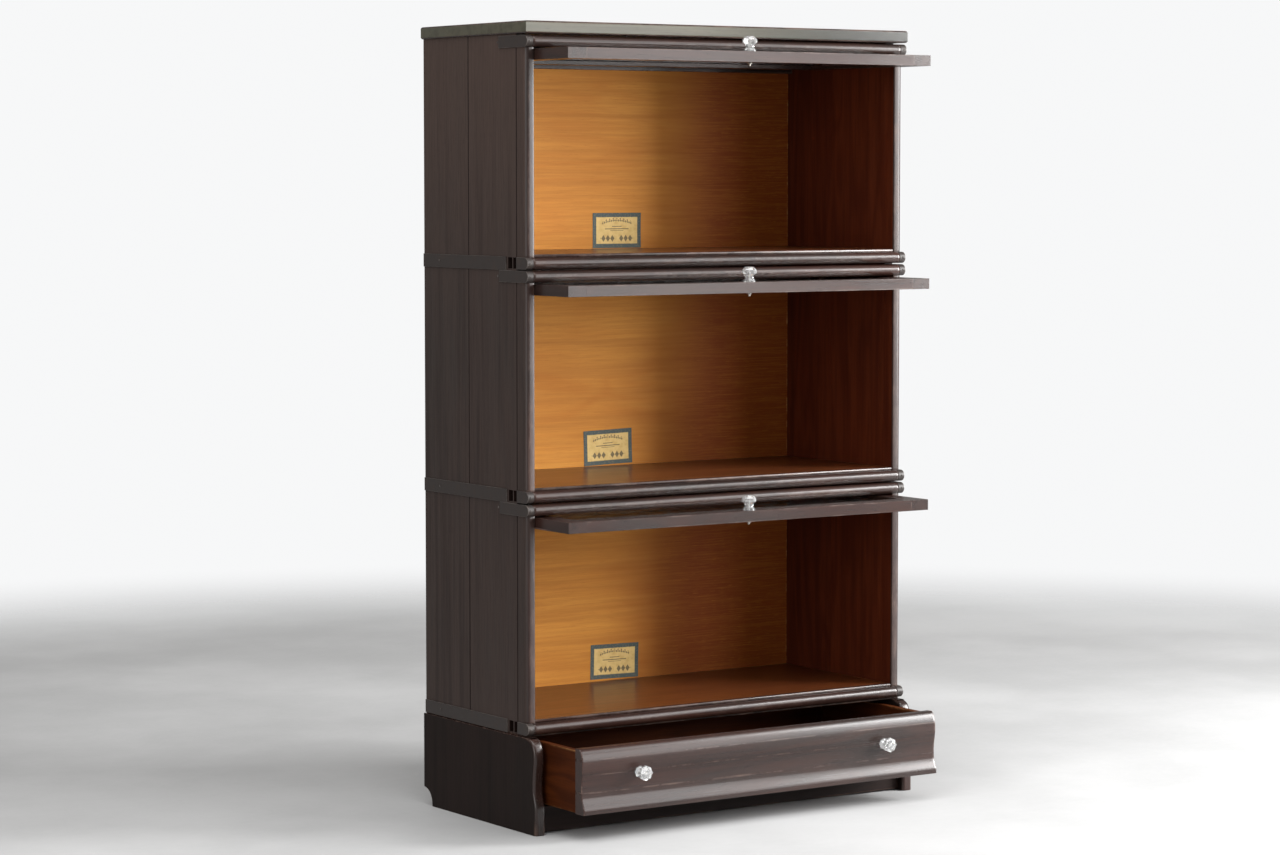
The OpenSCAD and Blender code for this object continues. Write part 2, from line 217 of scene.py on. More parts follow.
def woodFinish(name, look, grain):
    # long wavy figure, fine fibres and pores along the grain, with stain that has rubbed off the edges
    finish = Finish(name)
    board = finish.attribute("board")
    wear = finish.attribute("wear")
    place = finish.place()
    along = "xyz".index(grain)

    def drawn(share):  # the place on the piece, drawn out along the grain
        return finish.stretched(place, [1.0 if k != along else share for k in range(3)], board)

    def pattern(kind):
        share, *settings = grainLook[kind]
        return finish.noise(drawn(share), *settings)

    clouds = finish.noise(drawn(0.6), look["clouds"], 4, 0.55)
    bands = finish.node("ShaderNodeMath", {"operation": "SINE"}, {0: pattern("rings") * grainLook["bands"]})
    figureMask = bands * 0.5 + 0.5
    fibre = pattern("fibre")
    streaks = pattern("streaks")
    poreMask = pattern("pores").ramp(0.6, 0.7)
    colour = finish.mix(clouds.ramp(0.32, 0.7), look["middle"], look["grey"])
    colour = finish.mix(figureMask * look["figure"], colour, look["warm"])
    colour = finish.mix(streaks.ramp(0.42, 0.75) * grainLook["streakShare"], colour, look["deep"])
    if look["ripple"]:  # the faint waves across a sliced veneer
        waves = finish.node("ShaderNodeTexWave", {"wave_type": "BANDS", "bands_direction": "Z"},
                            {"Vector": drawn(0.55), **grainLook["wave"]})
        colour = finish.mix(waves.ramp(0.2, 0.95) * look["ripple"], colour, look["deep"])
    if look["fade"]:  # painted light and shade: the colour drifts across the piece as the light would fall on it
        axis, start, end, amount, tint = look["fade"]
        drift = finish.axis(place, axis) + (clouds - 0.5) * 0.12
        if "slant" in look:
            drift = drift + (grainLook["slantFrom"] - finish.axis(place, "Z")) * look["slant"]
        colour = finish.mix(drift.ramp(start, end) * amount, colour, tint)
    colour = finish.mix(fibre.ramp(0.4, 0.72) * grainLook["fibreShare"], colour, look["deep"])
    colour = finish.mix(poreMask * grainLook["poreShare"], colour, look["deep"])
    scratches = pattern("scratches").ramp(0.4, 0.62)
    wornMask = (wear * pattern("patches").ramp(0.42, 0.68) * (0.55 + 0.45 * scratches)).clamped()
    colour = finish.mix(wornMask * grainLook["wornShare"], colour, look["rubbed"])
    unevenness = 0.14 * (clouds - 0.5) + 0.1 * (fibre - 0.5)
    roughness = (look["roughness"] + unevenness + 0.16 * wornMask).clamped()
    coat = (look["coat"] * (1 - 0.7 * wornMask) * (0.75 + 0.5 * clouds)).clamped()
    height = fibre * 0.5 - poreMask * 0.7 + streaks * 0.3 - wornMask * 0.4
    fine = finish.bump(height, *grainLook["fineBump"])
    wavy = finish.bump(pattern("swell"), *grainLook["wavyBump"], fine)
    return finish.surface(Base_Color=colour, Roughness=roughness, Coat_Weight=coat, Normal=wavy,
                          Coat_Roughness=grainLook["coatRoughness"], Specular_IOR_Level=look["specular"])


ironLook = {
    "blacking": (0.025, 0.019, 0.017), "worn": (0.17, 0.15, 0.135), "rust": (0.036, 0.024, 0.019),
    "roughness": 0.46, "specular": 0.35, "bump": (0.12, 0.0004),
}


def ironFinish():
    finish = Finish("blackedIron")
    place = finish.place()
    wear = finish.attribute("wear")
    blotch = finish.noise(place, 60, 5, 0.6)
    pits = finish.noise(place, 700, 3, 0.6)
    rubbed = ((wear * 1.5 - 0.35) * blotch.ramp(0.36, 0.56)).clamped()
    colour = finish.mix(blotch.ramp(0.5, 0.72) * 0.6, ironLook["blacking"], ironLook["rust"])
    colour = finish.mix(rubbed * 0.9, colour, ironLook["worn"])
    unevenness = 0.2 * (blotch - 0.5) + 0.12 * (pits - 0.5) - 0.1 * rubbed
    roughness = (ironLook["roughness"] + unevenness).clamped()
    normal = finish.bump(pits * 0.6 + blotch * 0.4, *ironLook["bump"])
    return finish.surface(Base_Color=colour, Roughness=roughness, Metallic=(0.3 * rubbed).clamped(),
                          Specular_IOR_Level=ironLook["specular"], Normal=normal)


steelLook = {"bright": (0.42, 0.4, 0.37), "dull": (0.2, 0.17, 0.14), "roughness": 0.3,
             "bump": (0.15, 0.0003)}


def steelFinish():
    finish = Finish("wornSteel")
    place = finish.place()
    blotch = finish.noise(place, 240, 4, 0.6)
    fine = finish.noise(place, 1500, 2)
    colour = finish.mix(blotch.ramp(0.45, 0.7), steelLook["bright"], steelLook["dull"])
    roughness = (steelLook["roughness"] + 0.25 * blotch).clamped()
    return finish.surface(Base_Color=colour, Roughness=roughness, Metallic=1.0,
                          Normal=finish.bump(fine, *steelLook["bump"]))


# the glass lets only part of the light through and scatters the rest white, a painted sheen that brightens
# the knobs
knobGlassLook = {"tint": (0.98, 0.99, 0.99), "clear": 0.84, "bend": 1.5, "coat": 0.6,
                 "bump": (0.1, 0.0006)}


def knobGlassFinish():
    finish = Finish("pressedGlass")
    ripple = finish.noise(finish.place(), 260, 2)
    smears = finish.noise(finish.place(), 90, 4)
    roughness = 0.01 + 0.06 * smears.ramp(0.5, 0.8)
    return finish.surface(Base_Color=(*knobGlassLook["tint"], 1), Roughness=roughness,
                          Transmission_Weight=knobGlassLook["clear"], IOR=knobGlassLook["bend"],
                          Coat_Weight=knobGlassLook["coat"] + 0.3 * smears, Coat_Roughness=0.03,
                          Normal=finish.bump(ripple, *knobGlassLook["bump"]))


paneGlassLook = {"tint": (0.93, 0.965, 0.955), "clear": 0.96, "bend": 1.45, "bump": (0.06, 0.003)}


def paneGlassFinish():
    finish = Finish("paneGlass")
    ripple = finish.noise(finish.place(), 9, 2, 0.5, 0.6)  # old drawn glass is a little wavy
    dust = finish.noise(finish.place(), 40, 5, 0.65).ramp(0.45, 0.75)
    return finish.surface(Base_Color=(*paneGlassLook["tint"], 1), Roughness=0.015 + 0.05 * dust,
                          Transmission_Weight=paneGlassLook["clear"], IOR=paneGlassLook["bend"],
                          Normal=finish.bump(ripple, *paneGlassLook["bump"]))


labelLook = {
    "sheet": (0.62, 0.43, 0.15), "aged": (0.46, 0.28, 0.08), "border": (0.04, 0.058, 0.056),
    "ink": (0.04, 0.028, 0.016),
    # the lengths below are shares of the label's height, and heights are measured from its middle
    "borderWidth": 0.115,
    # rules: height, thickness, reach; arch: height, and how fast it falls away to the sides
    "rules": ((0.115, 0.014, 0.16), (0.045, 0.016, 0.4), (-0.005, 0.008, 0.22)), "arch": (0.285, 0.34),
    # each row of lozenges: height, pitch, size, and where it starts and ends on either side
    "archRows": ((0.0, 0.06, 0.03, 0.0, 0.5), (0.05, 0.12, 0.026, 0.0, 0.47)),
    "footRow": (-0.225, 0.152, 0.078, 0.07, 0.55),
}


def labelFinish(width, height):
    # aged paper with a dark border and plain printed ornament: rules, dots and lozenges
    finish = Finish("agedPaper")
    uv = finish.node("ShaderNodeUVMap", {"uv_map": "sheet"})
    wide = width / height
    across = (finish.axis(uv, "X") - 0.5) * wide
    up = finish.axis(uv, "Y") - 0.5
    sheet = finish.stretched(uv, (wide, 1, 1))
    torn = finish.noise(sheet, 22, 4, 0.6)
    edge = finish.node("ShaderNodeMath", {"operation": "MINIMUM"},
                       {0: wide / 2 - across.size(), 1: 0.5 - up.size()})
    borderWidth = labelLook["borderWidth"]
    border = 1 - (edge + (torn - 0.5) * 0.03).ramp(borderWidth, borderWidth * 1.12)

    def rule(level, thick, reach):  # a thin level line
        line = 1 - (up - level).size().ramp(thick * 0.6, thick)
        return line * (1 - across.size().ramp(reach, reach + 0.01))

    def lozenges(level, pitch, radius, low, high):  # a row of them, pitch apart
        cell = finish.node("ShaderNodeMath", {"operation": "PINGPONG"}, {0: across, 1: pitch / 2})
        shape = 1 - (cell + (up - level).size() * 0.75).ramp(radius * 0.86, radius)
        return shape * across.size().ramp(low, low + 0.01) * (1 - across.size().ramp(high, high + 0.01))

    archHigh, archFall = labelLook["arch"]
    arch = archHigh - across * across * archFall
    marks = sum(rule(*line) for line in labelLook["rules"])
    for lift, *row in labelLook["archRows"]:
        marks = marks + lozenges(arch + lift, *row)
    marks = marks + lozenges(*labelLook["footRow"])
    spread = finish.noise(sheet, 40, 3)
    ink = (marks * (0.55 + 0.7 * spread)).clamped()
    age = finish.noise(sheet, 4.5, 5, 0.6)
    colour = finish.mix(age.ramp(0.4, 0.72) * 0.7, labelLook["sheet"], labelLook["aged"])
    colour = finish.mix(ink * 0.9, colour, labelLook["ink"])
    colour = finish.mix(border * (0.86 + 0.14 * torn.ramp(0.35, 0.5)), colour, labelLook["border"])
    fibres = finish.noise(sheet, 110, 3)
    return finish.surface(Base_Color=colour, Roughness=(0.62 + 0.2 * age).clamped(),
                          Normal=finish.bump(fibres + border * 0.6, 0.15, 0.0003))


floorLook = {"dark": (0.35, 0.35, 0.35), "light": (0.44, 0.44, 0.44), "roughness": 0.5, "specular": 0.3,
             "fadeFrom": 2.4, "fadeTo": 4.2}


def floorFinish():
    # pale concrete that fades out, so that the floor runs into the backdrop without an edge
    finish = Finish("paleFloor")
    place = finish.place()
    cloud = finish.noise(place, 0.9, 6, 0.6)
    grit = finish.noise(place, 60, 4, 0.6)
    colour = finish.mix(cloud.ramp(0.35, 0.7), floorLook["dark"], floorLook["light"])
    finish.surface(Base_Color=colour, Roughness=(floorLook["roughness"] + 0.18 * grit).clamped(),
                   Specular_IOR_Level=floorLook["specular"], Normal=finish.bump(grit, 0.05, 0.002))
    opaque = Value(finish, finish.output.inputs["Surface"].links[0].from_socket)
    away = finish.node("ShaderNodeVectorMath", {"operation": "LENGTH"}, {0: place}, output="Value")
    fade = away.ramp(floorLook["fadeFrom"], floorLook["fadeTo"])
    clear = finish.node("ShaderNodeBsdfTransparent")
    faded = finish.node("ShaderNodeMixShader", {}, {0: fade, 1: opaque, 2: clear})
    finish.tree.links.new(faded.socket, finish.output.inputs["Surface"])
    return finish.material


woods = {  # each one's material, look and the way that its grain runs
    "darkx": ("darkStain-x", darkStain, "x"),
    "darky": ("darkStain-y", darkStain, "y"),
    "darkz": ("darkStain-z", darkStain, "z"),
    "nosez": ("noseStain-z", noseStain, "z"),
    "sidez": ("sideStain-z", sideStain, "z"),
    "basex": ("baseStain-x", baseStain, "x"),
    "basez": ("baseStain-z", baseStain, "z"),
    "drawerx": ("drawerWood-x", drawerVarnish, "x"),
    "drawery": ("drawerWood-y", drawerVarnish, "y"),
    "slab": ("slabStainAndSheen", slabStainAndSheen, "x"),
    "inner": ("innerVarnish", innerVarnish, "x"),
    "rear": ("plainBack", plainWood, "x"),
    "shelf": ("shelfVarnish", shelfVarnish, "x"),
    "innerSide": ("innerSideVarnish", innerSideVarnish, "z"),
}
finishes = {key: woodFinish(*wood) for key, wood in woods.items()}
finishes["iron"] = ironFinish()
finishes["steel"] = steelFinish()
finishes["knob"] = knobGlassFinish()
finishes["pane"] = paneGlassFinish()
print("finishes made:", len(finishes))


def camelName(node):
    first, *rest = node.split("_")
    return first + "".join(word.capitalize() for word in rest)


def wearLayer(bm):  # marks on vertices, which makePiece passes to the narrow faces
    return bm.verts.layers.float.get("mark") or bm.verts.layers.float.new("mark")


def flatLayer(bm):  # faces that lie in a plane with a broad one
    return bm.faces.layers.int.get("flat") or bm.faces.layers.int.new("flat")


def newMesh():
    bm = bmesh.new()
    wearLayer(bm)
    flatLayer(bm)
    return bm


def startFrom(node):  # a merged copy of a CAD node, with its flat faces whole again
    bm = bmesh.new()
    bm.from_mesh(frame["nodes"][node].data)
    wearLayer(bm)
    flatLayer(bm)
    bmesh.ops.remove_doubles(bm, verts=bm.verts, dist=near)
    bmesh.ops.dissolve_limit(bm, angle_limit=math.radians(0.5), verts=bm.verts, edges=bm.edges)
    return bm


def boxOf(verts):
    low = Vector([min(v.co[k] for v in verts) for k in range(3)])
    high = Vector([max(v.co[k] for v in verts) for k in range(3)])
    return low, high


def islands(bm):  # the separate solids of a mesh, as lists of vertices
    left = set(bm.verts)
    found = []
    while left:
        front = [left.pop()]
        solid = list(front)
        while front:
            vert = front.pop()
            for edge in vert.link_edges:
                other = edge.other_vert(vert)
                if other in left:
                    left.remove(other)
                    front.append(other)
                    solid.append(other)
        found.append(solid)
    return sorted(found, key=lambda verts: tuple(round(c, 4) for c in boxOf(verts)[0]))


def addMesh(bm, other):  # joins another bmesh into bm
    mesh = bpy.data.meshes.new("joining")
    other.to_mesh(mesh)
    other.free()
    bm.from_mesh(mesh)
    bpy.data.meshes.remove(mesh)


def sharpEdges(bm, angle=30):
    return [e for e in bm.edges if e.is_manifold and e.calc_face_angle(0) > math.radians(angle)]


def cutAt(bm, point, normal):  # new edges where a plane crosses the mesh, which stays whole
    whole = bm.verts[:] + bm.edges[:] + bm.faces[:]
    bmesh.ops.bisect_plane(bm, geom=whole, plane_co=point, plane_no=normal, dist=near)


def grow(bm, faces):  # extrudes faces in place, and gives the new vertices and faces
    made = bmesh.ops.extrude_face_region(bm, geom=faces)["geom"]
    return [[g for g in made if isinstance(g, kind)] for kind in (bmesh.types.BMVert, bmesh.types.BMFace)]


def soften(bm, edges, width, segments=2, worn=1.0):  # rounds edges and marks them as worn
    layer = wearLayer(bm)
    made = bmesh.ops.bevel(bm, geom=edges, offset=width, offset_type="OFFSET", affect="EDGES",
                           segments=segments, profile=0.5, material=-1, clamp_overlap=True)
    for face in made["faces"]:
        for vert in face.verts:
            vert[layer] = max(vert[layer], worn)


boardLook = {
    "edge": 0.0009, "backEdge": 0.0005, "border": 0.004,
    "broad": 0.0012,  # a face larger than this gets a border
    "narrow": 0.0055,  # a face narrower than about this can be round and worn
}


def rim(bm, width, smallest=boardLook["broad"]):  # a border on each broad face, over which the wear fades
    layer = wearLayer(bm)
    flat = flatLayer(bm)
    broad = [f for f in bm.faces if f.calc_area() > smallest and len(f.verts) < 40
             and 2 * f.calc_area() / f.calc_perimeter() > 3 * width]
    made = bmesh.ops.inset_individual(bm, faces=broad, thickness=width, use_even_offset=False)
    for face in made["faces"] + broad:
        face[flat] = 1
    for face in broad:
        for vert in face.verts:
            vert[layer] = 0.0


def spare(bm, axis, ends, width=0.004):  # keeps the wear at the ends of a long strip from running along it
    layer = wearLayer(bm)
    for end, inward in zip(ends, (1, -1)):
        at = end + inward * width
        point = Vector([at if k == axis else 0 for k in range(3)])
        normal = Vector([1 if k == axis else 0 for k in range(3)])
        cutAt(bm, point, normal)
        for vert in bm.verts:
            if abs(vert.co[axis] - at) < near:
                vert[layer] = 0.0


def makePiece(name, bm, finishNames, nodes, smooth=50, boards=None, chooser=None):
    # nodes are the CAD nodes it stands for; boards gives a face's tone, chooser the number of its finish
    bmesh.ops.remove_doubles(bm, verts=bm.verts, dist=near / 2)
    bmesh.ops.recalc_face_normals(bm, faces=bm.faces)
    marks = wearLayer(bm)
    wear = bm.loops.layers.float.new("wear")
    layer = bm.faces.layers.float.get("board") or bm.faces.layers.float.new("board")
    tone = random.Random(name).random()
    flat = flatLayer(bm)
    rounded = []
    for face in bm.faces:
        face[layer] = tone if boards is None else boards(face.calc_center_median(), tone)
        face.material_index = 0 if chooser is None else chooser(face)
        narrow = 2 * face.calc_area() < boardLook["narrow"] * face.calc_perimeter()
        rounded.append(narrow and not face[flat])
        for loop in face.loops:
            loop[wear] = loop.vert[marks] if narrow else 0.0
    mesh = bpy.data.meshes.new(name)
    bm.to_mesh(mesh)
    bm.free()
    for extra in ("custom_normal", "mark", "flat"):
        if extra in mesh.attributes:
            mesh.attributes.remove(mesh.attributes[extra])
    for finishName in finishNames:
        mesh.materials.append(finishes[finishName])
    mesh.set_sharp_from_angle(angle=math.radians(smooth))
    mesh.polygons.foreach_set("use_smooth", rounded)
    piece = bpy.data.objects.new(name, mesh)
    bpy.context.scene.collection.objects.link(piece)
    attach(piece, bodyOf[nodes[0]])
    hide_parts(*nodes)


def board(node, finishNames, edge=boardLook["edge"], chooser=None):  # a plain board with rubbed edges
    bm = startFrom(node)
    soften(bm, sharpEdges(bm), edge)
    rim(bm, boardLook["border"])
    makePiece(camelName(node), bm, finishNames, [node], chooser=chooser)


slabLook = {
    "border": 0.006, "ends": 0.004, "wear": 0.8,
    "rubbedHigh": 0.0026, "rubbedDeep": 0.0035,  # how far the wear runs from an edge, down and back
}


def makeSlab():
    bm = startFrom("top_slab")
    rim(bm, slabLook["border"])
    spare(bm, 0, (slabLow.x + slabLook["ends"], slabHigh.x - slabLook["ends"]))
    layer = wearLayer(bm)
    for vert in bm.verts:  # the long edges of the front get rubbed
        edge = min(vert.co.z - slabLow.z, slabHigh.z - vert.co.z) < slabLook["rubbedHigh"]
        vert[layer] = slabLook["wear"] if edge and vert.co.y < slabLow.y + slabLook["rubbedDeep"] else 0.0

    def facing(face):  # pale round the edge, a painted sheen; dark above and below
        return 1 if abs(face.normal.z) > 0.35 else 0

    makePiece("topSlab", bm, ["slab", "darkx"], ["top_slab"], chooser=facing)


sideLook = {
    "edge": 0.0007, "border": 0.003,
    "seams": (0.0135, 0.04, 0.207),  # how far back each one is
    "seamWide": (0.001, 0.0016, 0.0015), "seamDeep": (0.001, 0.0022, 0.0022),
    "skin": 0.0002,  # a seam sinks the vertices this close to the outer face
    "nose": 0.01, "noseDeep": 0.0012,  # how far back the front edge is reshaped, and its roundness
    "noseWear": 0.7,
    "slots": ((0.0405, 0.052), (0.0548, 0.069)), "slotLow": 0.001, "slotHigh": 0.0212, "slotDeep": 0.009,
    "varnishFrom": 0.009, "groovesFrom": 0.036, "grooveDeep": 0.0004,
    "toneStep": 0.37,  # the change of tone from board to board
}


def roundNose(bm, low, high, outer, outward):  # rounds the outer half of the front edge
    for vert in bm.verts:
        across = 2 * (outer - vert.co.x) * outward / (high.x - low.x) - 1
        if across > 0 and vert.co.y < low.y + sideLook["nose"] + near:
            vert.co.y = low.y + sideLook["noseDeep"] * (1 - math.sqrt(max(0, 1 - across ** 2)))


def cutSeams(bm, outer, outward):  # sinks a fine V at each seam, and gives the planes of its cuts
    planes = []
    for seam, wide, depth in zip(sideLook["seams"], sideLook["seamWide"], sideLook["seamDeep"]):
        y = frontY + seam
        for shift in (-wide, 0, wide):
            cutAt(bm, (0, y + shift, 0), (0, 1, 0))
            planes.append(y + shift)
        for vert in bm.verts:
            if abs(vert.co.y - y) < near and abs(vert.co.x - outer) < sideLook["skin"]:
                vert.co.x -= outward * depth
    return planes


def outlineSlots(bm, low, outward):  # gives the planes of its cuts, and the outer faces between them
    bottom = low.z + sideLook["slotLow"]
    top = low.z + sideLook["slotHigh"]
    planes = []
    for pair in sideLook["slots"]:
        for y in pair:
            cutAt(bm, (0, frontY + y, 0), (0, 1, 0))
            planes.append(frontY + y)
        for z in (bottom, top):
            cutAt(bm, (0, 0, z), (0, 0, 1))
    slots = []
    for face in bm.faces:
        centre = face.calc_center_median()
        within = any(start < centre.y - frontY < end for start, end in sideLook["slots"])
        if within and bottom < centre.z < top and face.normal.x * outward > 0.9:
            slots.append(face)
    return planes, slots


def makeSide(node):
    # boards glued edge to edge, with fine seams outside and slots between the lower cap and the band, whose
    # near-black stain is painted shade
    low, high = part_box(node)
    outward = 1 if high.x > 0 else -1
    outer = high.x if outward > 0 else low.x
    bm = startFrom(node)
    roundNose(bm, low, high, outer, outward)
    soften(bm, sharpEdges(bm), sideLook["edge"])
    rim(bm, sideLook["border"])
    spare(bm, 2, (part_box("lower_rail_" + node[-1])[1].z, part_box("upper_rail_" + node[-1])[0].z))
    layer = wearLayer(bm)
    for vert in bm.verts:
        if vert.co.y < low.y + sideLook["noseDeep"]:
            vert[layer] = sideLook["noseWear"]
    planes = cutSeams(bm, outer, outward)
    slotPlanes, slots = outlineSlots(bm, low, outward)
    for vert in bm.verts:  # no wear along the cuts
        if any(abs(vert.co.y - y) < near for y in planes + slotPlanes):
            vert[layer] = 0.0
    sunk = grow(bm, slots)[0]
    bmesh.ops.translate(bm, verts=sunk, vec=(-outward * sideLook["slotDeep"], 0, 0))
    bmesh.ops.delete(bm, geom=slots, context="FACES")

    def tone(centre, start):
        boardNumber = sum(centre.y > frontY + seam for seam in sideLook["seams"])
        return (start + sideLook["toneStep"] * boardNumber) % 1.0

    def facing(face):  # polished at the front, duller along the side, and within a darker varnish that is painted shade
        centre = face.calc_center_median()
        if face.normal.x * outward < -0.7 and centre.y > low.y + sideLook["varnishFrom"]:
            return 2
        sunkBy = (outer - centre.x) * outward
        inside = min(centre.z - low.z, high.z - centre.z) > near
        if centre.y > frontY + sideLook["groovesFrom"] and sunkBy > sideLook["grooveDeep"] and inside:
            return 3  # the seams, dark as joints, and the slots, darkened as painted shade
        return 0 if centre.y < frontY + sideLook["seams"][0] else 1

    finishNames = ["nosez", "sidez", "innerSide", "basez"]
    makePiece(camelName(node), bm, finishNames, [node], boards=tone, chooser=facing)


railLook = {
    "edge": 0.0004, "edgeWear": 0.5, "capped": 0.0125,  # the length at each end that a cap hides
    "frontDeep": 0.0008, "frontWear": 0.3,
}


def makeRail(node):
    low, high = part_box(node)
    bm = startFrom(node)
    soften(bm, sharpEdges(bm, 50), railLook["edge"], 1, railLook["edgeWear"])
    spare(bm, 0, (low.x + railLook["capped"], high.x - railLook["capped"]))
    layer = wearLayer(bm)
    for vert in bm.verts:  # the front of the round is handled and knocked
        if vert.co.y < low.y + railLook["frontDeep"]:
            vert[layer] = railLook["frontWear"]
    makePiece(camelName(node), bm, ["darkx"], [node])


def rearFace(face):  # the outside of a back is left plain
    return 1 if face.normal.y > 0.5 else 0


shelfLook = {"edge": 0.0016, "border": 0.004, "lip": 0.009}


def makeShelf(node):  # varnished, with its front lip stained like the case
    bm = startFrom(node)
    soften(bm, sharpEdges(bm), shelfLook["edge"])
    rim(bm, shelfLook["border"])
    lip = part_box(node)[0].y + shelfLook["lip"]
    cutAt(bm, (0, lip, 0), (0, 1, 0))

    def facing(face):
        return 1 if face.calc_center_median().y < lip else 0

    makePiece(camelName(node), bm, ["shelf", "darkx"], [node], chooser=facing)


screwLook = {
    "rings": ((1.0, 0.35), (0.8, 0.8), (0.45, 1.0)),  # shares of the radius and of the height, going up
    "slotWide": 0.0008, "slotDeep": 0.0006, "segments": 20, "headWear": 0.45, "rimWear": 0.3,
}


def makeScrew(radius, height, facing, centre, turn):
    # a domed head with a slot, standing on its face at centre and looking along facing
    bm = newMesh()
    bmesh.ops.create_circle(bm, cap_ends=True, radius=radius, segments=screwLook["segments"])
    top = bm.faces[:]
    for share, lift in screwLook["rings"]:
        verts, grown = grow(bm, top)
        if share < 1.0:  # the face below the first ring stays, as the underside
            bmesh.ops.delete(bm, geom=top, context="FACES_ONLY")
        for vert in verts:
            flat = Vector((vert.co.x, vert.co.y, 0)).normalized() * radius * share
            vert.co = Vector((flat.x, flat.y, height * lift))
        top = grown
    half = screwLook["slotWide"] / 2
    for side in (-half, half):
        cutAt(bm, (0, side, 0), (0, 1, 0))
    layer = wearLayer(bm)
    for vert in bm.verts:
        if vert.co.z > height * 0.5 and abs(vert.co.y) < half * 1.05:
            vert.co.z -= screwLook["slotDeep"]
        vert[layer] = screwLook["headWear"] if vert.co.z > height * 0.5 else screwLook["rimWear"]
    turned = Vector((0, 0, 1)).rotation_difference(Vector(facing)).to_matrix().to_4x4()
    place = Matrix.Translation(centre) @ turned @ Matrix.Rotation(turn, 4, "Z")
    bmesh.ops.transform(bm, matrix=place, verts=bm.verts)
    return bm


def block(low, high, outward):  # a solid between two corners, or its mirror when outward is -1
    bm = newMesh()
    size = Vector(high) - Vector(low)
    middle = (Vector(high) + Vector(low)) / 2
    bmesh.ops.create_cube(bm, size=1, matrix=Matrix.Translation(middle) @ Matrix.Diagonal((*size, 1)))
    bmesh.ops.scale(bm, vec=(outward, 1, 1), verts=bm.verts)
    if outward < 0:
        bmesh.ops.reverse_faces(bm, faces=bm.faces)
    return bm


def roundFront(bm):  # makes the front of a block a half-round
    low, high = boxOf(bm.verts)
    front = [e for e in bm.edges if all(v.co.y < low.y + near for v in e.verts)
             and abs(e.verts[0].co.z - e.verts[1].co.z) < near]
    soften(bm, front, (high.z - low.z) / 2 - ironShape["nearlyHalf"], 10, 0.0)


ironShape = {
    "thick": 0.002, "edge": 0.0004, "seed": 40, "nearlyHalf": 0.0001,  # a round just under a full half
    "capLong": 0.011, "capGap": 0.00006, "capWall": 0.0005,  # the gap keeps a cap off its plate
    "plateDeep": 0.098, "plateWear": 0.6, "backWear": 0.0006,  # how far its bright back edge runs, rubbed iron with a painted highlight
    "bandFront": 0.074, "bandDrop": 0.002, "bandHigh": 0.0245, "bandWear": 0.5,
    "capScrew": (0.0022, 0.0008), "sideScrew": (0.0024, 0.0009),  # radius and height
    "capScrewIn": 0.0062, "capScrewSunk": 0.0002, "plateScrewGap": 0.006, "bandScrewBack": 0.058,
}


def makeCap(low, high, inner, outer, outward):  # a half-round cap, hollow from the rail's side
    cap = block((inner, low.y, low.z), (outer - ironShape["capGap"], high.y, high.z), outward)
    roundFront(cap)
    mouth = [f for f in cap.faces if f.normal.x * outward < -0.9]
    bmesh.ops.inset_individual(cap, faces=mouth, thickness=ironShape["thick"])
    sunk = grow(cap, mouth)[0]
    depth = ironShape["capLong"] - ironShape["capWall"]
    bmesh.ops.translate(cap, verts=sunk, vec=(outward * depth, 0, 0))
    bmesh.ops.delete(cap, geom=mouth, context="FACES")
    return cap


def makePlate(low, high, inner, outer, back, outward):  # a flat plate on the side, with a half-round front
    plate = block((inner, low.y, low.z), (outer, back, high.z), outward)
    roundFront(plate)
    edges = [e for e in sharpEdges(plate, 50) if min(v.co.y for v in e.verts) > back - near
             or abs(abs(e.verts[0].co.x) - outer) < near]
    soften(plate, edges, ironShape["edge"], 2, ironShape["plateWear"])
    return plate


def makeIrons(n):
    # per end of the section: a cap on each rail with its side plate, and one long band, all screwed on
    shape = ironShape
    turns = random.Random(shape["seed"] + n)
    sideLow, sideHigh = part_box("side_right_%d" % n)
    inner = sideHigh.x - shape["capLong"]
    outer = sideHigh.x + shape["thick"]
    parts = []
    for outward in (-1, 1):
        for rail in ("lower", "upper"):
            low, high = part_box("%s_rail_%d" % (rail, n))
            long = rail == "upper"
            back = low.y + (shape["plateDeep"] if long else high.y - low.y)
            parts.append(makeCap(low, high, inner, sideHigh.x, outward))
            plate = makePlate(low, high, sideHigh.x, outer, back, outward)
            parts.append(plate)
            layer = wearLayer(plate)
            for vert in plate.verts:  # the back edge of a long plate is rubbed bright, which also paints a highlight along it
                if long and vert.co.y > back - shape["backWear"]:
                    vert[layer] = 1.0
            nose = Vector((outward * (outer - shape["capScrewIn"]), low.y + shape["capScrewSunk"],
                           (low.z + high.z) / 2))
            parts.append(makeScrew(*shape["capScrew"], (0, -1, 0), nose, turns.uniform(0, 3)))
            if long:
                beside = Vector((outward * sideHigh.x, back + shape["plateScrewGap"], nose.z))
                parts.append(makeScrew(*shape["sideScrew"], (outward, 0, 0), beside, turns.uniform(0, 3)))
        foot = sideLow.z - shape["bandDrop"]
        top = foot + shape["bandHigh"]
        band = block((sideHigh.x, frontY + shape["bandFront"], foot), (outer, sideHigh.y, top), outward)
        soften(band, sharpEdges(band, 50), shape["edge"], 2, shape["bandWear"])
        parts.append(band)
        hole = Vector((outward * outer, sideHigh.y - shape["bandScrewBack"], foot + shape["bandHigh"] / 2))
        parts.append(makeScrew(*shape["sideScrew"], (outward, 0, 0), hole, turns.uniform(0, 3)))
    bm = newMesh()
    for part in parts:
        addMesh(bm, part)
    makePiece("cornerIrons%d" % n, bm, ["iron"], ["corner_irons_%d" % n], smooth=30)


knobLook = {
    "sides": 8, "flute": 0.1, "footFlute": 0.12,
    # height and radius, as shares of the knob's height and head radius, up the outside
    "outline": ((0.000, 0.78), (0.06, 0.8), (0.15, 0.72), (0.26, 0.56), (0.34, 0.53), (0.43, 0.62),
                (0.56, 0.97), (0.64, 1.00), (0.78, 0.98), (0.9, 0.74), (0.985, 0.52), (1.000, 0.4)),
    "hole": 0.0021, "holeSpare": 0.0001,  # the radius of the hole for the bolt, and its room past the tip
}


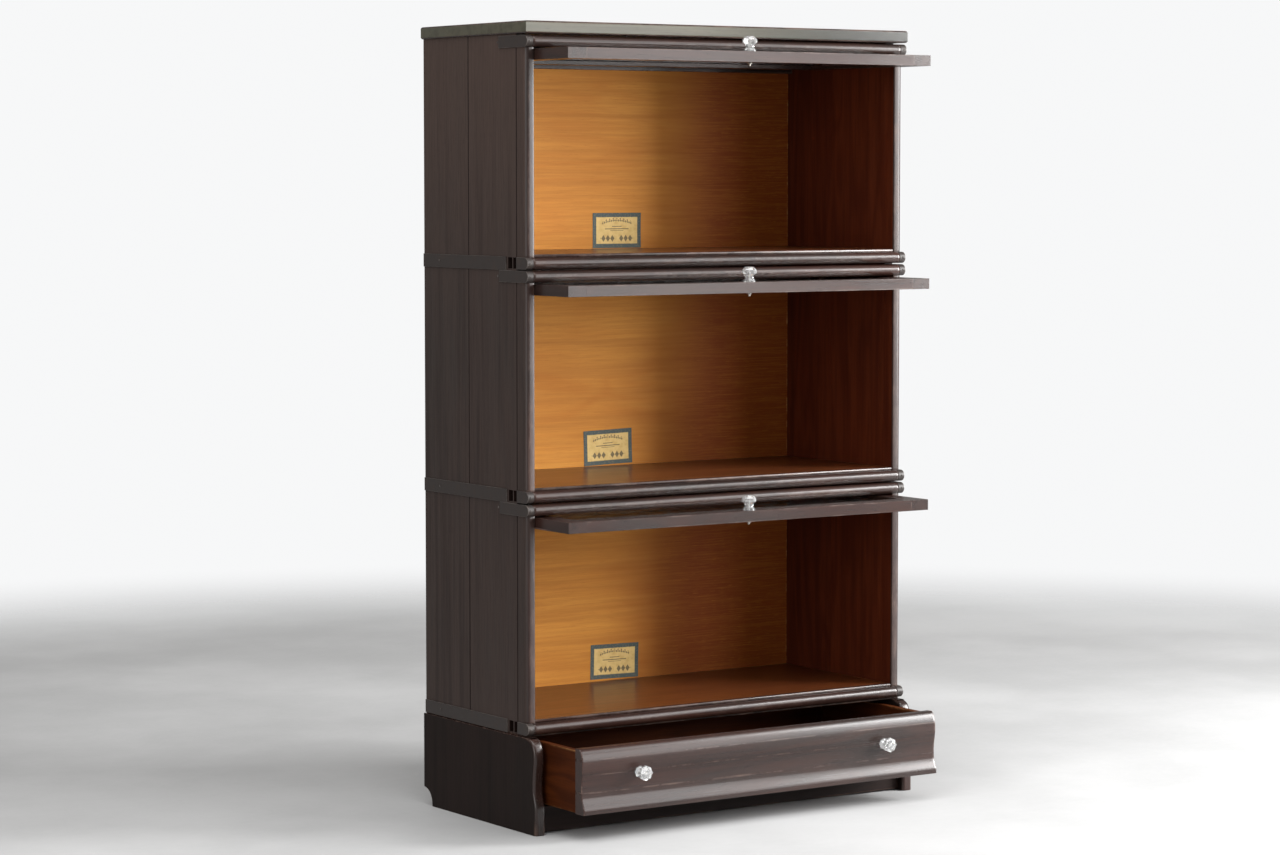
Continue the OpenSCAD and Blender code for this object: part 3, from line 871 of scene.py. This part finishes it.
def makeKnob(radius, height, boltDepth):
    # pressed glass: a fluted foot, a narrow neck and a faceted head, hollow where its bolt goes up
    bm = bmesh.new()
    hole = knobLook["hole"]
    holeTop = boltDepth + knobLook["holeSpare"]
    points = [(share * radius, lift * height) for lift, share in knobLook["outline"]]
    outside = [bm.verts.new((x, 0, z)) for x, z in [(hole, 0.0)] + points + [(0.0, height)]]
    inside = [bm.verts.new((x, 0, z)) for x, z in ((hole, holeTop), (0.0, holeTop))]
    edges = [bm.edges.new(pair) for pair in zip(outside, outside[1:])]
    edges += [bm.edges.new((outside[0], inside[0])), bm.edges.new(inside)]
    steps = knobLook["sides"] * 2
    bmesh.ops.spin(bm, geom=outside + inside + edges, axis=(0, 0, 1), cent=(0, 0, 0), angle=math.tau,
                   steps=steps, use_merge=True)
    bmesh.ops.remove_doubles(bm, verts=bm.verts, dist=near)
    for vert in bm.verts:  # every second corner stands in, which makes the facets
        around = math.atan2(vert.co.y, vert.co.x) / math.tau * steps
        out = math.hypot(vert.co.x, vert.co.y)
        if out > hole * 1.5 and round(around) % 2:
            head = vert.co.z > 0.5 * height
            share = 1 - knobLook["flute" if head else "footFlute"]
            vert.co.x *= share
            vert.co.y *= share
    bmesh.ops.recalc_face_normals(bm, faces=bm.faces)
    facets = [f for f in bm.faces if len(f.verts) == 4 and f.calc_center_median().z > 0]
    bmesh.ops.triangulate(bm, faces=facets)
    return bm


boltLook = {"radius": 0.002, "tip": 0.6, "nutHigh": 0.003, "nutEdge": 0.12}


def makeBolt(low, high, nutTop, nutRadius):
    # a plain rod with a domed lower end, and a six-sided nut
    radius = boltLook["radius"]
    nutHigh = boltLook["nutHigh"]
    bm = bmesh.new()
    bmesh.ops.create_cone(bm, cap_ends=True, segments=16, radius1=radius, radius2=radius, depth=high - low,
                          matrix=Matrix.Translation((0, 0, (low + high) / 2)))
    end = [e for e in sharpEdges(bm) if all(v.co.z < low + near for v in e.verts)]
    soften(bm, end, radius * boltLook["tip"], 3)
    nut = bmesh.new()
    bmesh.ops.create_cone(nut, cap_ends=True, segments=6, radius1=nutRadius, radius2=nutRadius,
                          depth=nutHigh, matrix=Matrix.Translation((0, 0, nutTop - nutHigh / 2)))
    soften(nut, sharpEdges(nut), nutHigh * boltLook["nutEdge"], 2)
    addMesh(bm, nut)
    return bm


doorLook = {"edge": 0.0009, "wear": 0.9, "border": 0.0035, "paneEdge": 0.0003, "pivotEdge": 0.0004}


def makeDoor(n):
    for part, grain in (("stiles", "darky"), ("rail_top", "darkx"), ("rail_bottom", "darkx")):
        node = "door_%s_%d" % (part, n)
        bm = startFrom(node)
        soften(bm, sharpEdges(bm, 50), doorLook["edge"], 2, doorLook["wear"])
        rim(bm, doorLook["border"])
        makePiece(camelName(node), bm, [grain], [node])
    pane = startFrom("door_glass_%d" % n)
    soften(pane, sharpEdges(pane), doorLook["paneEdge"], 1)
    makePiece("doorGlass%d" % n, pane, ["pane"], ["door_glass_%d" % n])
    knobLow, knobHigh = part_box("door_knob_%d" % n)
    boltLow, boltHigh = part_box("knob_bolt_%d" % n)
    centre = (knobLow + knobHigh) / 2
    knob = makeKnob((knobHigh.x - knobLow.x) / 2, knobHigh.z - knobLow.z, boltHigh.z - knobLow.z)
    bmesh.ops.translate(knob, verts=knob.verts, vec=(centre.x, centre.y, knobLow.z))
    makePiece("doorKnob%d" % n, knob, ["knob"], ["door_knob_%d" % n], smooth=9)
    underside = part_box("door_rail_bottom_%d" % n)[0].z
    bolt = makeBolt(boltLow.z, boltHigh.z, underside, (boltHigh.x - boltLow.x) / 2)
    bmesh.ops.translate(bolt, verts=bolt.verts, vec=(centre.x, centre.y, 0))
    makePiece("knobBolt%d" % n, bolt, ["steel"], ["knob_bolt_%d" % n])
    pivots = startFrom("door_pivots_%d" % n)
    soften(pivots, sharpEdges(pivots, 50), doorLook["pivotEdge"], 2)
    makePiece("doorPivots%d" % n, pivots, ["steel"], ["door_pivots_%d" % n], smooth=30)


labelShape = {
    "across": 24, "up": 14, "curl": 0.0006, "turns": (0.0, 1.5, -1.0),
    "off": 0.0001, "thin": 0.75,  # how far the paper is off the back, and how thin it is
}


def makeLabels():
    # three old paper labels glued to the backs, each lifting a little at its corners
    source = startFrom("paper_labels")
    boxes = sorted((boxOf(solid) for solid in islands(source)), key=lambda box: -box[0].z)
    source.free()
    size = boxes[0][1] - boxes[0][0]
    finishes["paper"] = labelFinish(size.x, size.z)
    bm = bmesh.new()
    uvLayer = bm.loops.layers.uv.new("sheet")
    for (low, high), turn in zip(boxes, labelShape["turns"]):
        known = set(bm.verts)
        bmesh.ops.create_grid(bm, x_segments=labelShape["across"], y_segments=labelShape["up"], size=0.5)
        fresh = [v for v in bm.verts if v not in known]
        for face in {f for v in fresh for f in v.link_faces}:
            for loop in face.loops:
                loop[uvLayer].uv = (loop.vert.co.x + 0.5, loop.vert.co.y + 0.5)
        for vert in fresh:
            x, y = vert.co.x, vert.co.y
            lift = labelShape["curl"] * (abs(2 * x) ** 5 * abs(2 * y) ** 2)
            vert.co = Vector((x * size.x, -lift, y * size.z))
        centre = (low + high) / 2
        centre.y = high.y - labelShape["off"]
        place = Matrix.Translation(centre) @ Matrix.Rotation(math.radians(-turn), 4, "Y")
        bmesh.ops.transform(bm, matrix=place, verts=fresh)
    bmesh.ops.recalc_face_normals(bm, faces=bm.faces)
    if bm.faces[0].normal.y > 0:
        bmesh.ops.reverse_faces(bm, faces=bm.faces)
    bmesh.ops.solidify(bm, geom=bm.faces[:], thickness=size.y * labelShape["thin"])
    makePiece("paperLabels", bm, ["paper"], ["paper_labels"])


baseSideLook = {"corner": 0.0055, "ogeeDeep": 0.001, "edge": 0.0012, "wear": 0.8, "border": 0.004,
                "broad": 0.002}


def makeBaseSide(node):
    low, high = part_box(node)
    bm = startFrom(node)

    def front(edge):  # an edge that runs up the ogee
        ends = [v.co for v in edge.verts]
        ogee = all(p.y < frontY + baseSideLook["ogeeDeep"] for p in ends)
        return ogee and abs(ends[0].x - ends[1].x) < near

    def facing(face):  # polished at the front, dull on the sides and the back
        return 1 if abs(face.normal.x) > 0.9 or face.normal.y > 0.2 else 0

    soften(bm, [e for e in sharpEdges(bm) if front(e)], baseSideLook["corner"], 4, 0.0)
    others = [e for e in sharpEdges(bm, 50) if not front(e)]
    soften(bm, others, baseSideLook["edge"], 2, baseSideLook["wear"])
    rim(bm, baseSideLook["border"], baseSideLook["broad"])
    for vert in bm.verts:  # the border never stands out past the board
        vert.co.x = min(max(vert.co.x, low.x), high.x)
    makePiece(camelName(node), bm, ["darkz", "basez"], [node], chooser=facing)


drawerFrontLook = {
    "edge": 0.001, "wear": 0.9, "easedDepth": 0.004, "rubbedDepth": 0.005,  # both from the back
    "ridges": (0.09, 0.15), "ridgeSpread": 0.0025,  # the heights that get rubbed
    "hollow": (0.0635, 0.112), "easing": 14,  # the span whose curve is eased, and how often
}


def makeDrawerFront():
    low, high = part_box("drawer_front")
    bm = startFrom("drawer_front")
    eased = high.y - drawerFrontLook["easedDepth"]
    rubbed = high.y - drawerFrontLook["rubbedDepth"]
    hollowLow, hollowHigh = drawerFrontLook["hollow"]
    for turn in range(drawerFrontLook["easing"]):  # draws the hollow out smoothly into the flare
        hollow = [v for v in bm.verts if v.co.y < eased and hollowLow < v.co.z < hollowHigh]
        bmesh.ops.smooth_vert(bm, verts=hollow, factor=0.5, use_axis_y=True)
    soften(bm, sharpEdges(bm, 50), drawerFrontLook["edge"], 2, drawerFrontLook["wear"])
    spare(bm, 0, (low.x, high.x))
    layer = wearLayer(bm)
    spread = drawerFrontLook["ridgeSpread"]
    for lift in drawerFrontLook["ridges"]:
        for shift in (-spread, 0, spread):
            cutAt(bm, (0, 0, lift + shift), (0, 0, 1))
        for vert in bm.verts:  # long rubbed lines where the front is touched most
            if abs(vert.co.z - lift) < 0.0005 and vert.co.y < rubbed:
                vert[layer] = 1.0
    makePiece("drawerFront", bm, ["darkx"], ["drawer_front"])


def makeDrawer():
    makeDrawerFront()
    for side in ("left", "right"):
        board("drawer_side_" + side, ["drawery"])
    board("drawer_back", ["drawerx"])
    board("drawer_bottom", ["drawerx"])
    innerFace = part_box("drawer_front")[1].y
    knobs = bmesh.new()
    bolts = bmesh.new()
    source = startFrom("drawer_knobs")
    boltSource = startFrom("drawer_knob_bolts")
    for solid, boltSolid in zip(islands(source), islands(boltSource)):
        low, high = boxOf(solid)
        boltLow, boltHigh = boxOf(boltSolid)
        centre = (low + high) / 2
        seat = high.y  # the knob's foot is against the drawer front
        outward = Matrix.Translation((centre.x, seat, centre.z)) @ Matrix.Rotation(math.radians(90), 4, "X")
        knob = makeKnob((high.x - low.x) / 2, seat - low.y, seat - boltLow.y)
        bolt = makeBolt(seat - boltHigh.y, seat - boltLow.y, seat - innerFace, (boltHigh.x - boltLow.x) / 2)
        for part, whole in ((knob, knobs), (bolt, bolts)):
            bmesh.ops.transform(part, matrix=outward, verts=part.verts)
            addMesh(whole, part)
    source.free()
    boltSource.free()
    makePiece("drawerKnobs", knobs, ["knob"], ["drawer_knobs"], smooth=9)
    makePiece("drawerKnobBolts", bolts, ["steel"], ["drawer_knob_bolts"])


makeSlab()
for n in sections:
    for side in ("left", "right"):
        makeSide("side_%s_%d" % (side, n))
    board("back_panel_%d" % n, ["inner", "rear"], boardLook["backEdge"], chooser=rearFace)
    makeShelf("shelf_%d" % n)
    board("back_rail_%d" % n, ["darkx"])
    makeRail("upper_rail_%d" % n)
    makeRail("lower_rail_%d" % n)
    makeIrons(n)
    makeDoor(n)
    print("section", n, "made")
makeLabels()
for side in ("left", "right"):
    makeBaseSide("base_side_" + side)
board("base_front_rail", ["basex"])
board("base_back", ["darkx"])
board("base_top", ["basex"])
board("drawer_runners", ["drawery"])
makeDrawer()
print("base and drawer made")


studio = {
    "floor": 14.0, "room": (1.0, 0.985, 0.965), "ambient": 0.32, "backdrop": (0.93, 0.935, 0.94),
    "panels": {  # degrees right of the front, distance, height, size, power
        "window": (57.5, 3.8, 1.7, (1.5, 2.2), 400.0),
        "wall": (28.5, 4.2, 1.5, (1.1, 2.2), 50.0),
        "opposite": (-62.0, 4.5, 1.4, (2.4, 2.4), 62.0),
        "skylight": (35.0, 3.4, 3.4, (2.2, 1.2), 36.0),
        "ceiling": (-50.0, 1.3, 4.2, (4.4, 4.4), 215.0),
    },
    "aim": (0.15, 0.5),  # what they face: metres behind the front, share of the height
}


def makeFloor():
    bm = bmesh.new()
    bmesh.ops.create_grid(bm, x_segments=1, y_segments=1, size=studio["floor"])
    mesh = bpy.data.meshes.new("floor")
    bm.to_mesh(mesh)
    bm.free()
    floor = bpy.data.objects.new("floor", mesh)
    mesh.materials.append(floorFinish())
    bpy.context.scene.collection.objects.link(floor)


def makeRoom():
    world = bpy.data.worlds.new("room")
    world.use_nodes = True
    tree = world.node_tree
    room = tree.nodes["Background"]
    room.inputs["Color"].default_value = (*studio["room"], 1)
    room.inputs["Strength"].default_value = studio["ambient"]
    backdrop = tree.nodes.new("ShaderNodeBackground")  # the pale wall, which adds no light
    backdrop.inputs["Color"].default_value = (*studio["backdrop"], 1)
    seen = tree.nodes.new("ShaderNodeLightPath")
    mix = tree.nodes.new("ShaderNodeMixShader")
    tree.links.new(seen.outputs["Is Camera Ray"], mix.inputs[0])
    tree.links.new(room.outputs[0], mix.inputs[1])
    tree.links.new(backdrop.outputs[0], mix.inputs[2])
    tree.links.new(mix.outputs[0], tree.nodes["World Output"].inputs["Surface"])
    bpy.context.scene.world = world
    bpy.context.scene.view_settings.view_transform = "Standard"


def makePanels():
    behind, share = studio["aim"]
    target = Vector((0, frontY + behind, slabHigh.z * share))
    for name, (turn, away, height, size, power) in studio["panels"].items():
        light = bpy.data.lights.new(name, "AREA")
        light.shape = "RECTANGLE"
        light.size, light.size_y = size
        light.energy = power
        panel = bpy.data.objects.new(name, light)
        turn = math.radians(turn)
        panel.location = (math.sin(turn) * away, frontY - math.cos(turn) * away, height)
        panel.rotation_euler = (target - panel.location).to_track_quat("-Z", "Y").to_euler()
        bpy.context.scene.collection.objects.link(panel)


cameraPlace = {
    "left": 3.7613, "out": 5.3172, "height": 1.1951,  # from the middle of the front, in metres
    "turn": 33.908, "tilt": -4.153, "lens": 98.37, "sensor": 36,
}


def makeCamera():
    data = bpy.data.cameras.new("view")
    data.lens = cameraPlace["lens"]
    data.sensor_width = cameraPlace["sensor"]
    camera = bpy.data.objects.new("view", data)
    camera.location = (-cameraPlace["left"], frontY - cameraPlace["out"], cameraPlace["height"])
    camera.rotation_euler = (math.radians(90 + cameraPlace["tilt"]), 0, math.radians(-cameraPlace["turn"]))
    bpy.context.scene.collection.objects.link(camera)
    bpy.context.scene.camera = camera


makeFloor()
makeRoom()
makePanels()
makeCamera()
print("studio and camera set")
